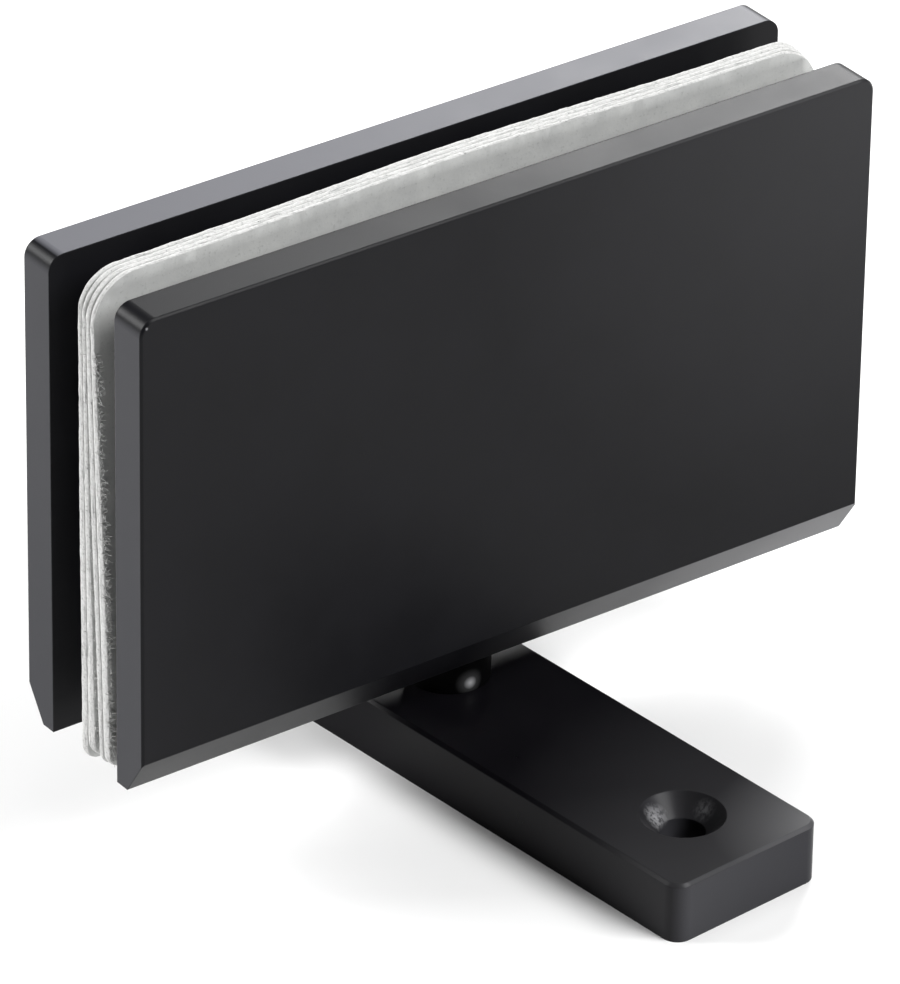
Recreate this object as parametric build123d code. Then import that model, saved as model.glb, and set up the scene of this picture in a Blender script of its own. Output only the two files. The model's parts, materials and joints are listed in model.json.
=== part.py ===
from build123d import *
import os

# Pivot clamp for a frameless glass door, in millimetres.
# Two plates clamp the glass across a slot. A block between them turns on a spindle,
# and the spindle stands on a flat bar that is screwed to the floor or to the ceiling.
# Frame: Z is the pivot axis and z = 0 is the bar's underside. The plates run along X,
# and the front plate faces -Y. At rest the bar stands almost square to the plates.

# Plates
plate_length = 100.0
plate_height = 60.3
plate_thickness = 5.0
plate_corner_radius = 2.0
plate_edge_break = 0.25
foot_chamfer_in = 3.0
foot_chamfer_up = 4.6
slot_width = 12.6

# Bar and its fixing holes
bar_length = 100.8
bar_width = 21.8
bar_thickness = 7.5
bar_corner_radius = 2.0
bar_edge_break = 0.4
bar_turn_degrees = 5.3
fixing_hole_end_distance = 11.0
fixing_hole_diameter = 5.3
fixing_countersink_diameter = 9.9

# Spindle
shoulder_diameter = 9.8
shoulder_height = 4.5
journal_diameter = 7.0
tenon_diameter = 8.0
tenon_across_flats = 6.6
tenon_depth = 3.4
spindle_edge_break = 0.4
spindle_tap_depth = 8.0

# Bushes, washers and retaining ring
bush_wall = 1.0
bush_length = 10.0
bush_flange_width = 0.8
bush_flange_thickness = 1.0
thrust_washer_thickness = 1.0
retaining_washer_thickness = 0.8
retaining_washer_width = 1.5
ring_thickness = 0.8
ring_width = 1.9
ring_opening = 4.0
groove_depth = 0.5
spindle_head_height = 0.7

# Pivot block and the pad on it
block_width = 40.0
block_height = 34.0
block_corner_radius = 3.0
recess_depth = 4.0
pad_thickness = 2.0
pad_margin = 0.8
pad_corner_radius = 1.5

# Loose gasket sheets
gasket_count = 4
gasket_thickness = 0.8
gasket_spacing = 0.05
gasket_end_margin = 0.5
gasket_foot_margin = 0.9
gasket_top_rise = 0.1
gasket_corner_radius = 4.5
gasket_foot_radius = 1.0
gasket_back_place = 1.4
gasket_lean_degrees = 1.8
gasket_fan_degrees = 0.3

# Screws: each has a hexagon socket in a flush countersunk head
clamp_screw_diameter = 6.0
clamp_screw_head_diameter = 11.6
clamp_screw_socket = 4.0
clamp_screw_below_block_head = 6.0
block_screw_diameter = 4.0
block_screw_head_diameter = 7.8
block_screw_socket = 2.5
block_screw_end_distance = 7.0
spindle_screw_diameter = 5.0
spindle_screw_head_diameter = 9.6
spindle_screw_socket = 3.0
screw_reach = 3.4
socket_depth_share = 0.4
sleeve_diameter = 9.0
sleeve_to_block = 1.0

# Clearances
running_clearance = 0.05
seat_clearance = 0.01
thread_clearance = 0.03
through_clearance = 0.2
end_float = 0.1
loose_clearance = 0.3
blind_clearance = 0.4
recess_clearance = 0.5

# Heights that follow from the stack on the pivot axis
thrust_washer_foot = bar_thickness + shoulder_height
bush_flange_foot = thrust_washer_foot + thrust_washer_thickness
plate_foot = bush_flange_foot + bush_flange_thickness
plate_head = plate_foot + plate_height
block_head = plate_foot + block_height
pad_head = block_head + pad_thickness
recess_floor = block_head - recess_depth
retaining_washer_foot = recess_floor + bush_flange_thickness + end_float
ring_foot = retaining_washer_foot + retaining_washer_thickness
spindle_head = ring_foot + ring_thickness + spindle_head_height

# Places that follow from the slot and the plates
inner_face = slot_width / 2
outer_face = inner_face + plate_thickness
clamp_screw_offset = block_width / 2 + sleeve_to_block + sleeve_diameter / 2
clamp_screw_z = block_head - clamp_screw_below_block_head
block_screw_offset = block_width / 2 - block_screw_end_distance
block_screw_z = plate_foot + block_height / 2
fixing_hole_spacing = bar_length - 2 * fixing_hole_end_distance
bush_diameter = journal_diameter + 2 * (running_clearance + bush_wall)
bush_flange_diameter = bush_diameter + 2 * bush_flange_width
retaining_washer_diameter = journal_diameter + 2 * (running_clearance + retaining_washer_width)
ring_bore = journal_diameter - 2 * groove_depth + 2 * running_clearance
ring_diameter = ring_bore + 2 * ring_width
recess_diameter = max(bush_flange_diameter, retaining_washer_diameter, ring_diameter) + recess_clearance
thread_reach = screw_reach + blind_clearance


def upright_cylinder(diameter, foot, head):
    # A cylinder on the pivot axis between two heights.
    standing = (Align.CENTER, Align.CENTER, Align.MIN)
    return Pos(0, 0, foot) * Cylinder(diameter / 2, head - foot, align=standing)


def upright_ring(outside, inside, foot, head):
    # A washer on the pivot axis between two heights.
    return upright_cylinder(outside, foot, head) - upright_cylinder(inside, foot, head)


def screw_solid(diameter, head_diameter, length, socket):
    # Head face at the origin, shank along -Z. The head is a 90 degree cone.
    head_height = (head_diameter - diameter) / 2
    profile = Polyline(
        (0, 0),
        (head_diameter / 2, 0),
        (diameter / 2, -head_height),
        (diameter / 2, -length),
        (0, -length),
        close=True,
    )
    body = revolve(Plane.XZ * make_face(profile), Axis.Z)
    depth = socket_depth_share * diameter
    key = extrude(RegularPolygon(socket / 2, 6, major_radius=False), amount=-depth)
    return body - key


def countersunk_hole(bore_diameter, mouth_diameter, through):
    # A hole with a 90 degree countersink, its mouth at the origin and its run along -Z.
    bore_radius = bore_diameter / 2
    mouth_radius = mouth_diameter / 2
    profile = Polyline(
        (0, 0),
        (mouth_radius, 0),
        (bore_radius, bore_radius - mouth_radius),
        (bore_radius, -through),
        (0, -through),
        close=True,
    )
    return revolve(Plane.XZ * make_face(profile), Axis.Z)


def screw_seat(diameter, head_diameter, through):
    # The hole for a screw_solid whose head lies flush.
    mouth_diameter = head_diameter + 4 * seat_clearance
    return countersunk_hole(diameter + 2 * through_clearance, mouth_diameter, through)


def from_back(x, y, z):
    # A place on a face that looks to +Y, with the local Z axis pointing out of it.
    return Location(Plane(origin=(x, y, z), x_dir=(1, 0, 0), z_dir=(0, 1, 0)))


def thread_hole(x, z, diameter):
    # A blind hole in the front plate, open to the slot.
    radius = diameter / 2 + thread_clearance
    drill = Cylinder(radius, thread_reach, align=(Align.CENTER, Align.CENTER, Align.MAX))
    return from_back(x, -inner_face, z) * drill


def plate_blank(side):
    # side is -1 for the front plate and +1 for the back plate.
    inner = side * inner_face
    outer = side * outer_face
    toe = outer - side * foot_chamfer_in
    outline = Polyline(
        (inner, plate_foot),
        (toe, plate_foot),
        (outer, plate_foot + foot_chamfer_up),
        (outer, plate_head),
        (inner, plate_head),
        close=True,
    )
    blank = extrude(Plane.YZ * make_face(outline), amount=plate_length / 2, both=True)
    corners = blank.edges().filter_by(Axis.Y).group_by(Axis.Z)[-1]
    blank = fillet(corners, plate_corner_radius)
    outward = blank.faces().sort_by(Axis.Y)[0 if side < 0 else -1]
    rim = outward.edges().sort_by(Axis.Z)[1:]
    return chamfer(rim, plate_edge_break)


def front_plate():
    body = plate_blank(-1)
    for hand in (-1, 1):
        body -= thread_hole(hand * clamp_screw_offset, clamp_screw_z, clamp_screw_diameter)
        body -= thread_hole(hand * block_screw_offset, block_screw_z, block_screw_diameter)
    return body


def back_plate():
    body = plate_blank(1)
    for hand in (-1, 1):
        mouth = from_back(hand * clamp_screw_offset, outer_face, clamp_screw_z)
        body -= mouth * screw_seat(clamp_screw_diameter, clamp_screw_head_diameter, plate_thickness)
    return body


def pivot_block():
    # Fills the slot between the plates, with the pivot bore up its middle.
    body = Pos(0, 0, plate_foot) * Box(
        block_width, slot_width, block_height, align=(Align.CENTER, Align.CENTER, Align.MIN)
    )
    crown = body.edges().filter_by(Axis.Y).group_by(Axis.Z)[-1]
    body = fillet(crown, block_corner_radius)
    body -= upright_cylinder(bush_diameter + 2 * seat_clearance, plate_foot, block_head)
    body -= upright_cylinder(recess_diameter, recess_floor, block_head)
    for hand in (-1, 1):
        mouth = from_back(hand * block_screw_offset, inner_face, block_screw_z)
        body -= mouth * screw_seat(block_screw_diameter, block_screw_head_diameter, slot_width)
    return body


def flanged_bush(flange_foot, barrel_foot):
    barrel = upright_cylinder(bush_diameter, barrel_foot, barrel_foot + bush_length)
    flange = upright_cylinder(bush_flange_diameter, flange_foot, flange_foot + bush_flange_thickness)
    bore_diameter = journal_diameter + 2 * running_clearance
    low = min(flange_foot, barrel_foot)
    high = max(flange_foot + bush_flange_thickness, barrel_foot + bush_length)
    return barrel + flange - upright_cylinder(bore_diameter, low, high)


def lower_bush():
    # Its flange carries the weight of the door onto the thrust washer.
    return flanged_bush(bush_flange_foot, plate_foot)


def upper_bush():
    # Its flange lies on the floor of the block's recess.
    return flanged_bush(recess_floor, recess_floor - bush_length)


def thrust_washer():
    bore = journal_diameter + 2 * running_clearance
    return upright_ring(shoulder_diameter, bore, thrust_washer_foot, bush_flange_foot)


def retaining_washer():
    bore = journal_diameter + 2 * running_clearance
    return upright_ring(retaining_washer_diameter, bore, retaining_washer_foot, ring_foot)


def retaining_ring():
    # An open ring that is pushed sideways into the spindle's groove.
    body = upright_ring(ring_diameter, ring_bore, ring_foot, ring_foot + ring_thickness)
    mouth = Pos(ring_diameter / 2, 0, ring_foot) * Box(
        ring_diameter, ring_opening, ring_thickness, align=(Align.CENTER, Align.CENTER, Align.MIN)
    )
    return body - mouth


def spindle():
    # Turned in one piece: tenon, shoulder, journal and the groove for the retaining ring.
    tenon_foot = bar_thickness - tenon_depth
    tenon_radius = tenon_diameter / 2
    shoulder_radius = shoulder_diameter / 2
    journal_radius = journal_diameter / 2
    groove_radius = journal_radius - groove_depth
    profile = Polyline(
        (0, tenon_foot),
        (tenon_radius, tenon_foot),
        (tenon_radius, bar_thickness),
        (shoulder_radius, bar_thickness),
        (shoulder_radius, thrust_washer_foot),
        (journal_radius, thrust_washer_foot),
        (journal_radius, ring_foot),
        (groove_radius, ring_foot),
        (groove_radius, ring_foot + ring_thickness),
        (journal_radius, ring_foot + ring_thickness),
        (journal_radius, spindle_head - spindle_edge_break),
        (journal_radius - spindle_edge_break, spindle_head),
        (0, spindle_head),
        close=True,
    )
    body = revolve(Plane.XZ * make_face(profile), Axis.Z)
    for hand in (-1, 1):
        flat = Pos(hand * tenon_across_flats / 2, 0, tenon_foot) * Box(
            tenon_diameter,
            tenon_diameter,
            tenon_depth,
            align=(Align.MIN if hand > 0 else Align.MAX, Align.CENTER, Align.MIN),
        )
        body -= flat
    tapped = spindle_screw_diameter + 2 * thread_clearance
    body -= upright_cylinder(tapped, tenon_foot, tenon_foot + spindle_tap_depth)
    return Rot(0, 0, bar_turn_degrees) * body


def tenon_pocket():
    # The flatted hole in the bar that keeps the spindle from turning.
    foot = bar_thickness - tenon_depth
    disc = upright_cylinder(tenon_diameter + 2 * seat_clearance, foot, bar_thickness)
    across = tenon_across_flats + 2 * seat_clearance
    limits = Pos(0, 0, foot) * Box(
        across, 2 * tenon_diameter, tenon_depth, align=(Align.CENTER, Align.CENTER, Align.MIN)
    )
    return disc & limits


def pivot_bar():
    body = Box(bar_width, bar_length, bar_thickness, align=(Align.CENTER, Align.CENTER, Align.MIN))
    body = fillet(body.edges().filter_by(Axis.Z), bar_corner_radius)
    rim = body.faces().sort_by(Axis.Z)[-1].edges()
    body = chamfer(rim, bar_edge_break)
    for hand in (-1, 1):
        mouth = Pos(0, hand * fixing_hole_spacing / 2, bar_thickness)
        hole = countersunk_hole(fixing_hole_diameter, fixing_countersink_diameter, bar_thickness)
        body -= mouth * hole
    body -= tenon_pocket()
    underside = Rot(180, 0, 0)
    web = bar_thickness - tenon_depth
    body -= underside * screw_seat(spindle_screw_diameter, spindle_screw_head_diameter, web)
    return Rot(0, 0, bar_turn_degrees) * body


def spindle_screw():
    # Comes up from the bar's underside and pulls the spindle's tenon into its pocket.
    length = bar_thickness - tenon_depth + spindle_tap_depth - blind_clearance
    body = screw_solid(spindle_screw_diameter, spindle_screw_head_diameter, length, spindle_screw_socket)
    return Rot(180, 0, 0) * Pos(0, 0, -seat_clearance) * body


def flush_screws(diameter, head_diameter, socket, offset, face, height):
    # A pair of like screws, mirrored about the pivot axis, from face into the front plate.
    length = face + inner_face + screw_reach
    pair = []
    for hand in (-1, 1):
        body = screw_solid(diameter, head_diameter, length, socket)
        pair.append(from_back(hand * offset, face - seat_clearance, height) * body)
    return Compound(children=pair)


def clamp_screws():
    return flush_screws(
        clamp_screw_diameter,
        clamp_screw_head_diameter,
        clamp_screw_socket,
        clamp_screw_offset,
        outer_face,
        clamp_screw_z,
    )


def block_screws():
    return flush_screws(
        block_screw_diameter,
        block_screw_head_diameter,
        block_screw_socket,
        block_screw_offset,
        inner_face,
        block_screw_z,
    )


def screw_sleeves():
    # Tubes that keep the glass edge off the clamp screws.
    length = slot_width - 2 * seat_clearance
    bore = clamp_screw_diameter + 2 * through_clearance
    pair = []
    for hand in (-1, 1):
        tube = Cylinder(sleeve_diameter / 2, length) - Cylinder(bore / 2, length)
        pair.append(from_back(hand * clamp_screw_offset, 0, clamp_screw_z) * tube)
    return Compound(children=pair)


def glass_pad():
    # Lies on the block and keeps the glass edge off the metal.
    body = Pos(0, 0, block_head) * Box(
        block_width - 2 * block_corner_radius,
        slot_width - 2 * pad_margin,
        pad_thickness,
        align=(Align.CENTER, Align.CENTER, Align.MIN),
    )
    return fillet(body.edges().filter_by(Axis.Z), pad_corner_radius)


def gasket(place):
    # place counts from the back. Each sheet has a cut-out round the block, the pad and the
    # sleeves, and the front half of the set leans forward about its top edge, fanned a little.
    head = plate_head + gasket_top_rise
    foot = plate_foot + gasket_foot_margin
    half_length = plate_length / 2 - gasket_end_margin
    sheet = Pos(0, (foot + head) / 2) * Rectangle(2 * half_length, head - foot)
    sheet = fillet(sheet.vertices().group_by(Axis.Y)[-1], gasket_corner_radius)
    sheet = fillet(sheet.vertices().group_by(Axis.Y)[0], gasket_foot_radius)
    cut_half = max(clamp_screw_offset + sleeve_diameter / 2, block_width / 2) + loose_clearance
    cut_head = max(pad_head, clamp_screw_z + sleeve_diameter / 2) + loose_clearance
    cut = Pos(0, (foot + cut_head) / 2) * Rectangle(2 * cut_half, cut_head - foot)
    sheet -= cut
    inner_corners = [v for v in sheet.vertices() if abs(v.Y - cut_head) < loose_clearance / 10]
    sheet = fillet(inner_corners, gasket_corner_radius / 2)
    middle = gasket_back_place - gasket_thickness / 2 - place * (gasket_thickness + gasket_spacing)
    body = extrude(Plane.XZ * sheet, amount=gasket_thickness / 2, both=True)
    places_in_front = place - gasket_count // 2
    lean = gasket_lean_degrees + gasket_fan_degrees * places_in_front if places_in_front >= 0 else 0
    hang = Pos(0, middle, head) * Rot(-lean, 0, 0) * Pos(0, 0, -head)
    return hang * body


def main():
    os.makedirs("parts", exist_ok=True)
    nodes = {
        "front_plate": front_plate(),
        "back_plate": back_plate(),
        "pivot_block": pivot_block(),
        "lower_bush": lower_bush(),
        "upper_bush": upper_bush(),
        "thrust_washer": thrust_washer(),
        "retaining_washer": retaining_washer(),
        "retaining_ring": retaining_ring(),
        "spindle": spindle(),
        "pivot_bar": pivot_bar(),
        "spindle_screw": spindle_screw(),
        "clamp_screws": clamp_screws(),
        "block_screws": block_screws(),
        "screw_sleeves": screw_sleeves(),
        "glass_pad": glass_pad(),
    }
    for place in range(gasket_count):
        nodes[f"gasket_{place + 1}"] = gasket(place)
    for name, solid in nodes.items():
        export_step(solid, f"parts/{name}.step")


main()
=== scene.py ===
import json
import math
import random

import bmesh
import bpy
from mathutils import Matrix, Vector, geometry, noise


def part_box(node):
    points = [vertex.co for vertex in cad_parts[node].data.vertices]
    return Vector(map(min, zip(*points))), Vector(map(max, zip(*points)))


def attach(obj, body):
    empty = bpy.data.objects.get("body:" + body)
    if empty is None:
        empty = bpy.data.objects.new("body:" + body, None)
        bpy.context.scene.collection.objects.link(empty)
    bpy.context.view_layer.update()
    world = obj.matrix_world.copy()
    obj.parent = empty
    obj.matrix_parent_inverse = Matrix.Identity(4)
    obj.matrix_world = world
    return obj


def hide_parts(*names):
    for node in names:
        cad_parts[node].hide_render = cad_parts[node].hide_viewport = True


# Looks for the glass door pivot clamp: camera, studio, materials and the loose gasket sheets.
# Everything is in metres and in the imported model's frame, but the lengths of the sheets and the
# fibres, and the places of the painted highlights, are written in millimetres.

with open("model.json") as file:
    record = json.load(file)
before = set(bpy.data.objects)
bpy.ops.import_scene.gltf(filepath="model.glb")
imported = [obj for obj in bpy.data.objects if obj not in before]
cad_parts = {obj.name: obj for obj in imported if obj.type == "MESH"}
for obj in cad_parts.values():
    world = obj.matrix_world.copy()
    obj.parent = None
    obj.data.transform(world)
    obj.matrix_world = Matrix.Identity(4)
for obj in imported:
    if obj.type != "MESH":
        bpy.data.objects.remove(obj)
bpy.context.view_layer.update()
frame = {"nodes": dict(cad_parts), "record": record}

MM = 0.001

# Camera, fitted to the photograph's straight edges. The image is 984 pixels high, and the
# sensor's size belongs to its long side.
IMAGE_HEIGHT = 984
SENSOR_SIZE = 36.0
FOCAL_PIXELS = 8657.2
CAMERA_AZIMUTH = math.radians(-36.62)
CAMERA_ELEVATION = math.radians(30.42)
CAMERA_ROLL = math.radians(0.94)
CAMERA_SIDE = 0.29 * MM
CAMERA_RISE = 27.02 * MM
CAMERA_DISTANCE = 992.9 * MM
CAMERA_CLIP_START = 0.05
CAMERA_CLIP_END = 50.0

# Studio. A softbox has a name, a place, a width, a height and a power.
SOFTBOXES = (
    ("top_softbox", (0.0, 0.0, 1.2), 0.8, 0.8, 3.8),
    ("right_softbox", (0.77, 0.7, 0.66), 0.36, 0.3, 9.0),
    ("left_softbox", (-0.75, 0.75, 0.6), 0.6, 0.5, 17.0),
    ("front_softbox", (0.42, -0.76, 0.82), 0.6, 0.5, 16.0),
)
OBJECT_MIDDLE = Vector((0.0, 0.0, 0.04))
SKY_STRENGTH = 0.03
FLOOR_SIZE = 8.0
FLOOR_TONES = ((0.86, 0.86, 0.86), (0.87, 0.87, 0.87))

# Colours. A pair is the dark and the light tone that faint clouds blend.
PLATE_BLACK = ((0.004, 0.004, 0.005), (0.0058, 0.0058, 0.0072))
BAR_BLACK = ((0.0036, 0.0033, 0.0044), (0.005, 0.0047, 0.006))
SPINDLE_BLACK = ((0.0015, 0.0015, 0.0017), (0.0025, 0.0025, 0.0028))
SCREW_BLACK = ((0.01, 0.01, 0.01), (0.02, 0.02, 0.021))
STEEL_GREY = ((0.5, 0.5, 0.49), (0.6, 0.59, 0.57))
NYLON_WHITE = ((0.76, 0.75, 0.7), (0.85, 0.84, 0.8))
SHEET_FACE_TONES = ((0.4, 0.405, 0.4), (0.47, 0.475, 0.465))
SHEET_FACE_SPOT = (0.27, 0.275, 0.27)
SHEET_EDGE_TONES = ((0.44, 0.44, 0.435), (0.61, 0.61, 0.6))
# Painted shade in the cut edges' splits and pits.
SHEET_EDGE_SPLIT_SHADE = (0.2, 0.2, 0.2)
SHEET_EDGE_PIT_SHADE = (0.14, 0.14, 0.14)
# The colours of the painted sheen and of the painted highlights.
PAINTED_SHEEN_COLOUR = (0.86, 0.87, 0.97)
PAINTED_HIGHLIGHT_COLOUR = (0.9, 0.9, 0.93)

# A coating's painted sheen, light painted onto its faces by the way they look: its shares on the
# faces that look along X, along Y and up, and how squarely a face has to look that way before the
# painted sheen starts.
NO_PAINTED_SHEENS = (0.0, 0.0, 0.0)
PLATE_PAINTED_SHEENS = (0.035, 0.0, 0.0)
BACK_PLATE_PAINTED_SHEENS = (0.035, 0.0, 0.12)
BAR_PAINTED_SHEENS = (0.0, 0.03, 0.0)
PAINTED_SHEEN_STARTS = (0.9, 0.5, 0.9)

# Painted highlights and sheens in the coatings: where they show, a point in millimetres, a radius
# and a share.
# They stand in for highlights and sheens of the photograph that no softbox gives.
ANYWHERE, FACES_UP, FACES_DOWN, IN_STREAKS = "anywhere", "faces_up", "faces_down", "in_streaks"
# Front plate: painted sheen towards the upper right, a painted glint at the top left corner, and
# painted sheen on the foot chamfer.
FRONT_PLATE_PAINTED_HIGHLIGHTS = (
    (ANYWHERE, (55.0, -11.3, 78.0), 60.0, 0.023),
    (ANYWHERE, (-49.2, -11.3, 73.4), 0.22, 0.3),
    (FACES_DOWN, (55.0, -9.8, 16.0), 60.0, 0.15),
)
# Spindle: a painted highlight low on its front, with a wider faint one round it.
SPINDLE_PAINTED_HIGHLIGHTS = (
    (ANYWHERE, (-0.5, -4.9, 8.7), 0.85, 0.4),
    (ANYWHERE, (-0.6, -4.9, 8.8), 1.8, 0.07),
)
# Bar: painted sheen near the left front end, painted sheen on the top at the right front corner,
# painted highlights in streaks in the countersink.
BAR_PAINTED_HIGHLIGHTS = (
    (ANYWHERE, (-7.5, -48.0, 3.5), 20.0, 0.02),
    (FACES_UP, (17.0, -51.0, 7.5), 15.0, 0.1),
    (FACES_UP, (14.0, -48.0, 7.5), 34.0, 0.03),
    (IN_STREAKS, (2.3, -36.4, 6.2), 1.9, 0.22),
    (IN_STREAKS, (7.3, -38.6, 6.3), 1.6, 0.05),
)

# Gasket sheets, counted from the back. Each has a back and a front place across the slot,
# from its middle plane, at its head, half-way down and at its foot.
SHEET_HEADS = ((1.4, 0.78), (0.68, 0.06), (-0.04, -0.66), (-0.78, -1.4))
SHEET_WAISTS = ((1.4, 0.42), (0.3, -0.55), (-0.95, -1.85), (-2.0, -3.05))
SHEET_FEET = ((1.25, 0.1), (0.0, -1.35), (-2.25, -2.95), (-3.05, -4.25))
SHEET_CORNER_RADII = (4.6, 4.8, 5.1, 5.5)
SHEET_FOOT_HEIGHTS = (13.4, 14.5, 14.3, 14.5)
SHEET_FOOT_RADIUS = 1.4
CUT_CLEARANCE = 0.3
sheet_low, sheet_high = (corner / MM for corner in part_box("gasket_1"))

# The sheets' bow about the middle of their length, and their uneven slack
SHEET_BOW = 1.15
SHEET_BOW_CENTRE = 0.0
SHEET_BOW_WIDTH = 24.0
SHEET_SLACK = 0.12
SLACK_WAVES = (14.0, 17.0)
SLACK_SHIFT = 0.4

# The sheets' meshes: spacing of the points, and how the cut edges bulge, tear and flare
OUTLINE_STEP = 0.28
GRID_STEP = 1.6
MERGE_DISTANCE = 1e-6
INSIDE_OUTLINE = 1
EDGE_ROWS = 9
EDGE_ROUNDING = 0.16
EDGE_FULLNESS = 0.7
EDGE_RAGGEDNESS = 0.08
EDGE_INSET = 0.4
TEAR_WAVES = (1.1, 1.1)
TEAR_SHIFTS = (5.1, 0.7)
FINE_TEAR_SHARE = 0.6
FINE_TEAR_WAVES = (0.4, 0.4)
FINE_TEAR_SHIFTS = (9.3, 2.3)
EDGE_FLARE = 0.08
FLARE_WAVES = (1.5, 1.5)

# Loose fibres on the sheets' left edges. The front sheet has three times as many as sheet 2.
FIBRE_SHEETS = (1, 3, 3, 3)
FIBRE_SEED = 11
FIBRE_COUNT = 1100
FIBRE_HEIGHTS = (15.5, 66.0)
FIBRE_INSETS = (0.0, 0.4)
FIBRE_LIFT = 0.03
FIBRE_REACH = 0.3
FIBRE_LENGTHS = (0.3, 1.2)
FIBRE_COURSES = ((-0.1, 0.2), (-1.2, -0.3), (-1.0, 1.0))
FIBRE_TURNS = ((-1, 1), (-1, 1), (-1, 1))
FIBRE_CURL = 0.6
FIBRE_POINTS = 6
FIBRE_SIDES = 3
FIBRE_RADIUS = 0.042
FIBRE_TAPER = 0.6
FIBRE_ASIDE = Vector((0.3, 0.5, 0.8))


def put(tree, kind, inputs=None, **properties):
    # Adds a node. An input is either a value or another node's output.
    made = tree.nodes.new(kind)
    for key, value in properties.items():
        setattr(made, key, value)
    for key, value in (inputs or {}).items():
        if isinstance(value, bpy.types.NodeSocket):
            tree.links.new(value, made.inputs[key])
        else:
            made.inputs[key].default_value = value
    return made


def calculate(tree, operation, *values):
    inputs = dict(enumerate(values))
    return put(tree, "ShaderNodeMath", inputs, operation=operation).outputs[0]


def new_material(name, metallic, specular):
    material = bpy.data.materials.new(name)
    material.use_nodes = True
    tree = material.node_tree
    shader = tree.nodes["Principled BSDF"]
    shader.inputs["Metallic"].default_value = metallic
    shader.inputs["Specular IOR Level"].default_value = specular
    place = put(tree, "ShaderNodeTexCoord").outputs["Object"]
    return material, tree, shader, place


def grain(tree, place, size, detail=3.0, stretch=None):
    # Noise whose features are about size long, drawn out along an axis by stretch.
    if stretch:
        shrunk = tuple(1 / factor for factor in stretch)
        inputs = {0: place, 1: shrunk}
        place = put(tree, "ShaderNodeVectorMath", inputs, operation="MULTIPLY").outputs[0]
    inputs = {"Vector": place, "Scale": 1 / size, "Detail": detail, "Roughness": 0.6}
    return put(tree, "ShaderNodeTexNoise", inputs).outputs["Fac"]


def spread(tree, value, low, high, start=0.3, end=0.7):
    # Maps a value from start to end onto low to high. The defaults take in most of a noise.
    inputs = {"Value": value, "From Min": start, "From Max": end, "To Min": low, "To Max": high}
    return put(tree, "ShaderNodeMapRange", inputs).outputs["Result"]


def blend_colours(tree, factor, first, second):
    mix = put(tree, "ShaderNodeMix", {"Factor": factor}, data_type="RGBA")
    for socket, colour in ((mix.inputs[6], first), (mix.inputs[7], second)):
        if isinstance(colour, bpy.types.NodeSocket):
            tree.links.new(colour, socket)
        else:
            socket.default_value = (*colour, 1.0)
    return mix.outputs[2]


def bumped(tree, height, strength, distance, edge_radius=0.0, edge_samples=4):
    # A normal with bumps, over edges that look rounded where an edge radius is given.
    inputs = {"Strength": strength, "Distance": distance, "Height": height}
    if edge_radius:
        rounded = put(tree, "ShaderNodeBevel", {"Radius": edge_radius}, samples=edge_samples)
        inputs["Normal"] = rounded.outputs[0]
    return put(tree, "ShaderNodeBump", inputs).outputs[0]


def finish_shader(tree, shader, colour, roughness, normal):
    tree.links.new(colour, shader.inputs["Base Color"])
    tree.links.new(roughness, shader.inputs["Roughness"])
    tree.links.new(normal, shader.inputs["Normal"])


def near_point(tree, place, point, radius, share):
    # The share at a point given in millimetres, falling evenly to zero at the radius.
    inputs = {0: place, 1: tuple(MM * value for value in point)}
    distance = put(tree, "ShaderNodeVectorMath", inputs, operation="DISTANCE").outputs["Value"]
    return spread(tree, distance, share, 0.0, start=0.0, end=radius * MM)


def painted_highlight_mask(tree, place, upwards, where):
    # Where a painted highlight shows, from how far the face looks up or from upright streaks.
    if where == FACES_UP:
        return spread(tree, upwards, 0.0, 1.0, start=0.4, end=0.9)
    if where == FACES_DOWN:
        return spread(tree, upwards, 1.0, 0.0, start=-0.5, end=-0.3)
    streaks = grain(tree, place, size=0.4 * MM, stretch=(1.0, 1.0, 5.0))
    return spread(tree, streaks, 0.25, 1.4, start=0.4, end=0.55)


def coated_metal(name, tones, roughness, specular, painted_sheens=NO_PAINTED_SHEENS, painted_highlights=()):
    # Satin black coating: a fine even texture, faint clouds, a painted sheen on faces by the way
    # they look, and painted highlights.
    material, tree, shader, place = new_material(name, 0.0, specular)
    clouds = grain(tree, place, size=11 * MM, detail=4.0)
    texture = grain(tree, place, size=0.16 * MM, detail=2.0)
    colour = blend_colours(tree, spread(tree, clouds, 0.0, 1.0), *tones)
    facing = put(tree, "ShaderNodeTexCoord").outputs["Normal"]
    ways = put(tree, "ShaderNodeSeparateXYZ", {0: facing}).outputs
    sideways = calculate(tree, "ABSOLUTE", ways["X"])
    forwards = calculate(tree, "ABSOLUTE", ways["Y"])
    # Painted sheen: faces that look along X, along Y or up are made lighter.
    for way, share, start in zip((sideways, forwards, ways["Z"]), painted_sheens, PAINTED_SHEEN_STARTS):
        if share > 0:
            painted_sheen = spread(tree, way, 0.0, share, start=start, end=1.0)
            colour = blend_colours(tree, painted_sheen, colour, PAINTED_SHEEN_COLOUR)
    # Painted highlights and sheens, each round its point.
    for where, point, radius, share in painted_highlights:
        painted_highlight = near_point(tree, place, point, radius, share)
        if where != ANYWHERE:
            painted_highlight = calculate(tree, "MULTIPLY", painted_highlight, painted_highlight_mask(tree, place, ways["Z"], where))
        colour = blend_colours(tree, painted_highlight, colour, PAINTED_HIGHLIGHT_COLOUR)
    rough = spread(tree, clouds, roughness - 0.03, roughness + 0.04)
    normal = bumped(tree, texture, strength=0.5, distance=0.012 * MM,
                    edge_radius=0.22 * MM, edge_samples=6)
    finish_shader(tree, shader, colour, rough, normal)
    return material


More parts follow.
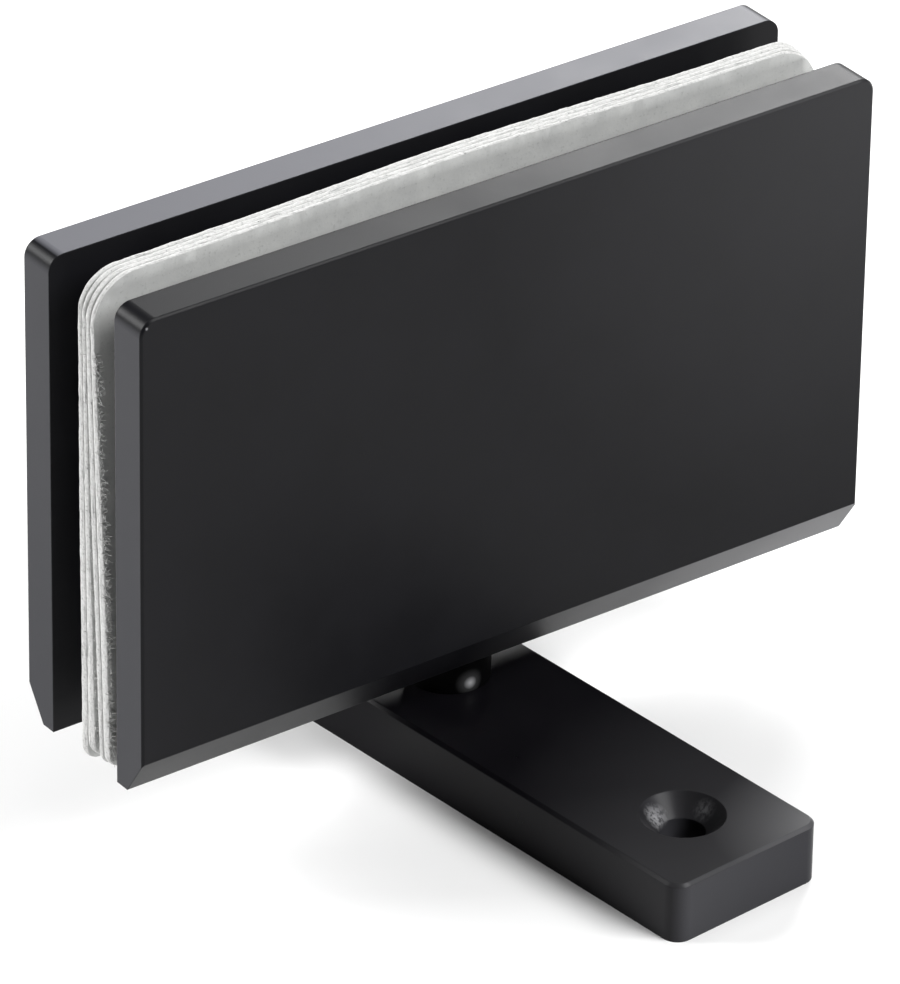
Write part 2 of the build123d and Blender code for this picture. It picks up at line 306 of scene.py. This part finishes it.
def machined_steel(name):
    # Bare steel: fine tool marks drawn out sideways, with a dull cast.
    material, tree, shader, place = new_material(name, 1.0, 0.5)
    tool_marks = grain(tree, place, size=0.15 * MM, stretch=(6.0, 6.0, 1.0))
    clouds = grain(tree, place, size=5 * MM)
    colour = blend_colours(tree, spread(tree, clouds, 0.0, 1.0), *STEEL_GREY)
    rough = spread(tree, tool_marks, 0.22, 0.4)
    normal = bumped(tree, tool_marks, strength=0.4, distance=0.02 * MM, edge_radius=0.12 * MM)
    finish_shader(tree, shader, colour, rough, normal)
    return material


def moulded_nylon(name):
    # Off-white nylon: slightly translucent, with a faint moulded texture.
    material, tree, shader, place = new_material(name, 0.0, 0.5)
    shader.inputs["Subsurface Weight"].default_value = 0.2
    shader.inputs["Subsurface Scale"].default_value = 0.5 * MM
    clouds = grain(tree, place, size=4 * MM)
    texture = grain(tree, place, size=0.2 * MM)
    colour = blend_colours(tree, spread(tree, clouds, 0.0, 1.0), *NYLON_WHITE)
    rough = spread(tree, clouds, 0.42, 0.55)
    normal = bumped(tree, texture, strength=0.3, distance=0.02 * MM)
    finish_shader(tree, shader, colour, rough, normal)
    return material


def gasket_face():
    # The sheets' faces: pressed fibre, smooth, with faint flocks and short dark fibres.
    material, tree, shader, place = new_material("gasket_face", 0.0, 0.25)
    clouds = grain(tree, place, size=3.5 * MM, detail=5.0)
    flocks = grain(tree, place, size=0.35 * MM, detail=4.0)
    colour = blend_colours(tree, spread(tree, clouds, 0.0, 1.0), *SHEET_FACE_TONES)
    spots = spread(tree, flocks, 0.0, 0.6, start=0.58, end=0.72)
    colour = blend_colours(tree, spots, colour, SHEET_FACE_SPOT)
    rough = spread(tree, flocks, 0.62, 0.78)
    normal = bumped(tree, flocks, strength=0.5, distance=0.04 * MM)
    finish_shader(tree, shader, colour, rough, normal)
    return material


def gasket_edge():
    # The sheets' cut edges: white torn fibre in thin layers, with painted shade in the splits and
    # pits.
    material, tree, shader, place = new_material("gasket_edge", 0.0, 0.15)
    layers = grain(tree, place, size=0.3 * MM, stretch=(16.0, 1.0, 16.0))
    tufts = grain(tree, place, size=0.35 * MM, detail=4.0)
    colour = blend_colours(tree, spread(tree, tufts, 0.0, 1.0), *SHEET_EDGE_TONES)
    # Painted shade: the splits between layers and the pits are drawn dark.
    split_shade = spread(tree, layers, 0.6, 0.0, start=0.34, end=0.42)
    colour = blend_colours(tree, split_shade, colour, SHEET_EDGE_SPLIT_SHADE)
    pit_shade = spread(tree, tufts, 0.7, 0.0, start=0.3, end=0.37)
    colour = blend_colours(tree, pit_shade, colour, SHEET_EDGE_PIT_SHADE)
    rough = spread(tree, tufts, 0.8, 0.95)
    height = calculate(tree, "ADD", layers, tufts)
    normal = bumped(tree, height, strength=0.6, distance=0.07 * MM)
    finish_shader(tree, shader, colour, rough, normal)
    return material


def paint_nodes():
    # A node gets a look of its own, or else the look of its slot in the record.
    satin = {"roughness": 0.38, "specular": 0.12}
    slot_looks = {
        "black_coating": coated_metal("plate_coating", PLATE_BLACK, painted_sheens=PLATE_PAINTED_SHEENS, **satin),
        "black_screw": coated_metal("screw_oxide", SCREW_BLACK, roughness=0.32, specular=0.3),
        "bare_steel": machined_steel("bare_steel"),
        "nylon": moulded_nylon("nylon"),
    }
    # Painted light: the front plate, bar and spindle looks carry painted highlights, and the
    # plate and bar coatings a painted sheen.
    node_looks = {
        "front_plate": coated_metal("front_plate_coating", PLATE_BLACK, painted_sheens=PLATE_PAINTED_SHEENS,
                                    painted_highlights=FRONT_PLATE_PAINTED_HIGHLIGHTS, **satin),
        "back_plate": coated_metal("back_plate_coating", PLATE_BLACK, painted_sheens=BACK_PLATE_PAINTED_SHEENS,
                                   **satin),
        "pivot_bar": coated_metal("bar_coating", BAR_BLACK, painted_sheens=BAR_PAINTED_SHEENS, painted_highlights=BAR_PAINTED_HIGHLIGHTS,
                                  roughness=0.3, specular=0.08),
        "spindle": coated_metal("spindle_coating", SPINDLE_BLACK, painted_highlights=SPINDLE_PAINTED_HIGHLIGHTS,
                                roughness=0.4, specular=0.05),
    }
    for row in frame["record"]["subparts"]:
        look = node_looks.get(row["node"]) or slot_looks.get(row["material_slot"])
        if look:
            slots = frame["nodes"][row["node"]].data.materials
            slots.clear()
            slots.append(look)


def add_piece(made, body):
    piece = bpy.data.objects.new(made.name, made)
    bpy.context.scene.collection.objects.link(piece)
    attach(piece, body)
    return piece


def corner_arc(before, corner, after, radius):
    # Points of the arc that rounds a right-angled corner.
    towards = (before - corner).normalized()
    away = (after - corner).normalized()
    centre = corner + radius * (towards + away)
    count = max(3, round(radius * math.pi / 2 / OUTLINE_STEP))
    points = []
    for index in range(count + 1):
        angle = math.pi / 2 * index / count
        points.append(centre - radius * (math.cos(angle) * away + math.sin(angle) * towards))
    return points


def rounded_outline(corners, radii):
    # A closed line through right-angled corners, with its points about OUTLINE_STEP apart.
    rough = []
    for index, corner in enumerate(corners):
        after = corners[(index + 1) % len(corners)]
        rough += corner_arc(corners[index - 1], corner, after, radii[index])
    points = []
    for index, point in enumerate(rough):
        step = rough[(index + 1) % len(rough)] - point
        count = max(1, round(step.length / OUTLINE_STEP))
        points += [point + step * part / count for part in range(count)]
    return points


def sheet_outline(foot_height, top_radius):
    # The sheet's outline in (x, z), with its cut-out round the block and the sleeves.
    cut_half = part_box("screw_sleeves")[1].x / MM + CUT_CLEARANCE
    cut_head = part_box("glass_pad")[1].z / MM + CUT_CLEARANCE
    corners = [
        Vector((sheet_low.x, foot_height)),
        Vector((-cut_half, foot_height)),
        Vector((-cut_half, cut_head)),
        Vector((cut_half, cut_head)),
        Vector((cut_half, foot_height)),
        Vector((sheet_high.x, foot_height)),
        Vector((sheet_high.x, sheet_high.z)),
        Vector((sheet_low.x, sheet_high.z)),
    ]
    foot = SHEET_FOOT_RADIUS
    inner = 2 * foot
    radii = [foot, foot, inner, inner, foot, foot, top_radius, top_radius]
    return rounded_outline(corners, radii)


def grid_points(foot_height):
    points = []
    x = sheet_low.x + GRID_STEP / 2
    while x < sheet_high.x:
        z = foot_height + GRID_STEP / 2
        while z < sheet_high.z:
            points.append(Vector((x, z)))
            z += GRID_STEP
        x += GRID_STEP
    return points


def curve_through(head, waist, foot, depth):
    # The parabola through three values at depths 0, 0.5 and 1.
    bend = 2 * (head + foot) - 4 * waist
    return head + (foot - head - bend) * depth + bend * depth * depth


def wave(x, z, lengths, shift):
    # Smooth noise over a sheet, from -1 to 1. Another shift gives other waves.
    return noise.noise(Vector((x / lengths[0], shift, z / lengths[1])))


def sheet_place(index, side, x, z):
    # Where one face of a sheet lies across the slot at a point of the sheet.
    depth = (sheet_high.z - z) / (sheet_high.z - sheet_low.z)
    places = (rows[index][side] for rows in (SHEET_HEADS, SHEET_WAISTS, SHEET_FEET))
    bow = SHEET_BOW * math.exp(-(((x - SHEET_BOW_CENTRE) / SHEET_BOW_WIDTH) ** 2))
    slack = SHEET_SLACK * wave(x, z, SLACK_WAVES, index * SLACK_SHIFT)
    return curve_through(*places, depth) + bow * (1 - depth) + slack


def edge_overhang(index, x, z, row):
    # How far a row of the cut edge stands out of the outline. Rows differ, as torn layers do.
    tear = wave(x, z, TEAR_WAVES, index * TEAR_SHIFTS[0] + row * TEAR_SHIFTS[1])
    fine = wave(x, z, FINE_TEAR_WAVES, index * FINE_TEAR_SHIFTS[0] + row * FINE_TEAR_SHIFTS[1])
    rounding = EDGE_ROUNDING * math.sin(math.pi * row / EDGE_ROWS) ** EDGE_FULLNESS
    return rounding + EDGE_RAGGEDNESS * (tear + FINE_TEAR_SHARE * fine - EDGE_INSET)


def add_faces(mesh, index, outline):
    # Adds a sheet's back and front face, and returns their points that lie on the outline.
    flat_input = outline + grid_points(SHEET_FOOT_HEIGHTS[index])
    border = [list(range(len(outline)))]
    flat = geometry.delaunay_2d_cdt(flat_input, [], border, INSIDE_OUTLINE, MERGE_DISTANCE)
    flat_points, flat_faces, origins = flat[0], flat[2], flat[3]
    number_of = {source: number for number, sources in enumerate(origins) for source in sources}
    back, front = [], []
    for side, points in enumerate((back, front)):
        for point in flat_points:
            y = sheet_place(index, side, point.x, point.y)
            points.append(mesh.verts.new((point.x, y, point.y)))
    for face in flat_faces:
        mesh.faces.new([back[number] for number in face])
        mesh.faces.new([front[number] for number in reversed(face)])
    rim = [number_of[source] for source in range(len(outline))]
    return [back[number] for number in rim], [front[number] for number in rim]


def add_cut_edge(mesh, index, outline, back, front):
    # Bridges a sheet's two faces by EDGE_ROWS rows of torn edge.
    count = len(outline)
    for number, (x, z) in enumerate(outline):
        back[number].co.y += EDGE_FLARE * wave(x, z, FLARE_WAVES, index)
        front[number].co.y -= EDGE_FLARE * wave(x, z, FLARE_WAVES, index + 0.5)
    rings = [back]
    for row in range(1, EDGE_ROWS):
        share = row / EDGE_ROWS
        ring = []
        for number, point in enumerate(outline):
            ahead = outline[(number + 1) % count] - outline[number - 1]
            outward = Vector((ahead.y, -ahead.x)).normalized()
            moved = point + outward * edge_overhang(index, point.x, point.y, row)
            y = back[number].co.y * (1 - share) + front[number].co.y * share
            ring.append(mesh.verts.new((moved.x, y, moved.y)))
        rings.append(ring)
    rings.append(front)
    for lower, upper in zip(rings, rings[1:]):
        for number in range(count):
            after = (number + 1) % count
            quad = (lower[number], upper[number], upper[after], lower[after])
            mesh.faces.new(quad).material_index = 1


def finish_mesh(name, mesh, materials):
    made = bpy.data.meshes.new(name)
    mesh.to_mesh(made)
    mesh.free()
    for material in materials:
        made.materials.append(material)
    return made


def sheet_mesh(index, materials):
    # A sheet is made in millimetres and then brought to metres.
    outline = sheet_outline(SHEET_FOOT_HEIGHTS[index], SHEET_CORNER_RADII[index])
    mesh = bmesh.new()
    back, front = add_faces(mesh, index, outline)
    add_cut_edge(mesh, index, outline, back, front)
    bmesh.ops.recalc_face_normals(mesh, faces=mesh.faces)
    for face in mesh.faces:
        face.smooth = True
    bmesh.ops.scale(mesh, vec=(MM, MM, MM), verts=mesh.verts)
    return finish_mesh(f"gasket_sheet_{index + 1}", mesh, materials)


def random_vector(dice, ranges):
    return Vector([dice.uniform(*limits) for limits in ranges])


def fibre_points(dice, start):
    # A short crooked line that stands off a sheet's edge towards the front.
    length = dice.uniform(*FIBRE_LENGTHS)
    course = random_vector(dice, FIBRE_COURSES)
    turn = random_vector(dice, FIBRE_TURNS)
    points = [start]
    for step in range(1, FIBRE_POINTS):
        course = (course + FIBRE_CURL * turn).normalized()
        ahead = points[-1] + course * length / (FIBRE_POINTS - 1)
        ahead.x = max(ahead.x, sheet_low.x - FIBRE_REACH)
        points.append(ahead)
    return points


def add_fibre_tube(mesh, points):
    # A thin closed tube that tapers to its free end.
    rings = []
    for number, point in enumerate(points):
        ahead = points[min(number + 1, len(points) - 1)] - points[max(number - 1, 0)]
        across = ahead.cross(FIBRE_ASIDE).normalized()
        radius = FIBRE_RADIUS * (1 - FIBRE_TAPER * number / len(points))
        ring = []
        for corner in range(FIBRE_SIDES):
            angle = 2 * math.pi * corner / FIBRE_SIDES
            turned = Matrix.Rotation(angle, 3, ahead.normalized()) @ across
            ring.append(mesh.verts.new((point + radius * turned) * MM))
        rings.append(ring)
    for lower, upper in zip(rings, rings[1:]):
        for corner in range(FIBRE_SIDES):
            after = (corner + 1) % FIBRE_SIDES
            mesh.faces.new((lower[corner], lower[after], upper[after], upper[corner]))
    mesh.faces.new(rings[0][::-1])
    mesh.faces.new(rings[-1])


def fibre_mesh(material):
    dice = random.Random(FIBRE_SEED)
    mesh = bmesh.new()
    for _ in range(FIBRE_COUNT):
        index = dice.choice(FIBRE_SHEETS)
        x = sheet_low.x + dice.uniform(*FIBRE_INSETS)
        z = dice.uniform(*FIBRE_HEIGHTS)
        start = Vector((x, sheet_place(index, 1, x, z) + FIBRE_LIFT, z))
        add_fibre_tube(mesh, fibre_points(dice, start))
    return finish_mesh("gasket_fibres", mesh, [material])


def add_gaskets():
    face, edge = gasket_face(), gasket_edge()
    for index in range(len(SHEET_HEADS)):
        sheet = add_piece(sheet_mesh(index, [face, edge]), "clamp")
        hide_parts(f"gasket_{index + 1}")
    add_piece(fibre_mesh(edge), "clamp")


def add_floor():
    bpy.ops.mesh.primitive_plane_add(size=FLOOR_SIZE)
    floor = bpy.context.object
    floor.name = "floor"
    material, tree, shader, place = new_material("floor", 0.0, 0.2)
    clouds = grain(tree, place, size=300 * MM)
    colour = blend_colours(tree, clouds, *FLOOR_TONES)
    tree.links.new(colour, shader.inputs["Base Color"])
    shader.inputs["Roughness"].default_value = 0.9
    floor.data.materials.append(material)


def add_softbox(name, place, width, height, power):
    # A soft rectangular light that looks at the object's middle.
    light = bpy.data.lights.new(name, "AREA")
    light.shape = "RECTANGLE"
    light.size = width
    light.size_y = height
    light.energy = power
    lamp = bpy.data.objects.new(name, light)
    lamp.location = place
    lamp.rotation_euler = (OBJECT_MIDDLE - lamp.location).to_track_quat("-Z", "Y").to_euler()
    bpy.context.scene.collection.objects.link(lamp)


def add_studio():
    world = bpy.data.worlds.new("studio")
    world.use_nodes = True
    background = world.node_tree.nodes["Background"]
    background.inputs["Color"].default_value = (1.0, 1.0, 1.0, 1.0)
    background.inputs["Strength"].default_value = SKY_STRENGTH
    bpy.context.scene.world = world
    bpy.context.scene.view_settings.view_transform = "Standard"
    for softbox in SOFTBOXES:
        add_softbox(*softbox)
    add_floor()


def add_camera():
    back = Vector((
        math.sin(CAMERA_AZIMUTH) * math.cos(CAMERA_ELEVATION),
        -math.cos(CAMERA_AZIMUTH) * math.cos(CAMERA_ELEVATION),
        math.sin(CAMERA_ELEVATION),
    ))
    level = Vector((math.cos(CAMERA_AZIMUTH), math.sin(CAMERA_AZIMUTH), 0.0))
    upright = back.cross(level)
    right = math.cos(CAMERA_ROLL) * level + math.sin(CAMERA_ROLL) * upright
    up = -math.sin(CAMERA_ROLL) * level + math.cos(CAMERA_ROLL) * upright
    data = bpy.data.cameras.new("camera")
    data.sensor_width = SENSOR_SIZE
    data.lens = FOCAL_PIXELS * SENSOR_SIZE / IMAGE_HEIGHT
    data.clip_start = CAMERA_CLIP_START
    data.clip_end = CAMERA_CLIP_END
    camera = bpy.data.objects.new("camera", data)
    camera.location = CAMERA_SIDE * right + CAMERA_RISE * up + CAMERA_DISTANCE * back
    camera.rotation_euler = Matrix((right, up, back)).transposed().to_euler()
    bpy.context.scene.collection.objects.link(camera)
    bpy.context.scene.camera = camera


paint_nodes()
add_gaskets()
add_studio()
add_camera()
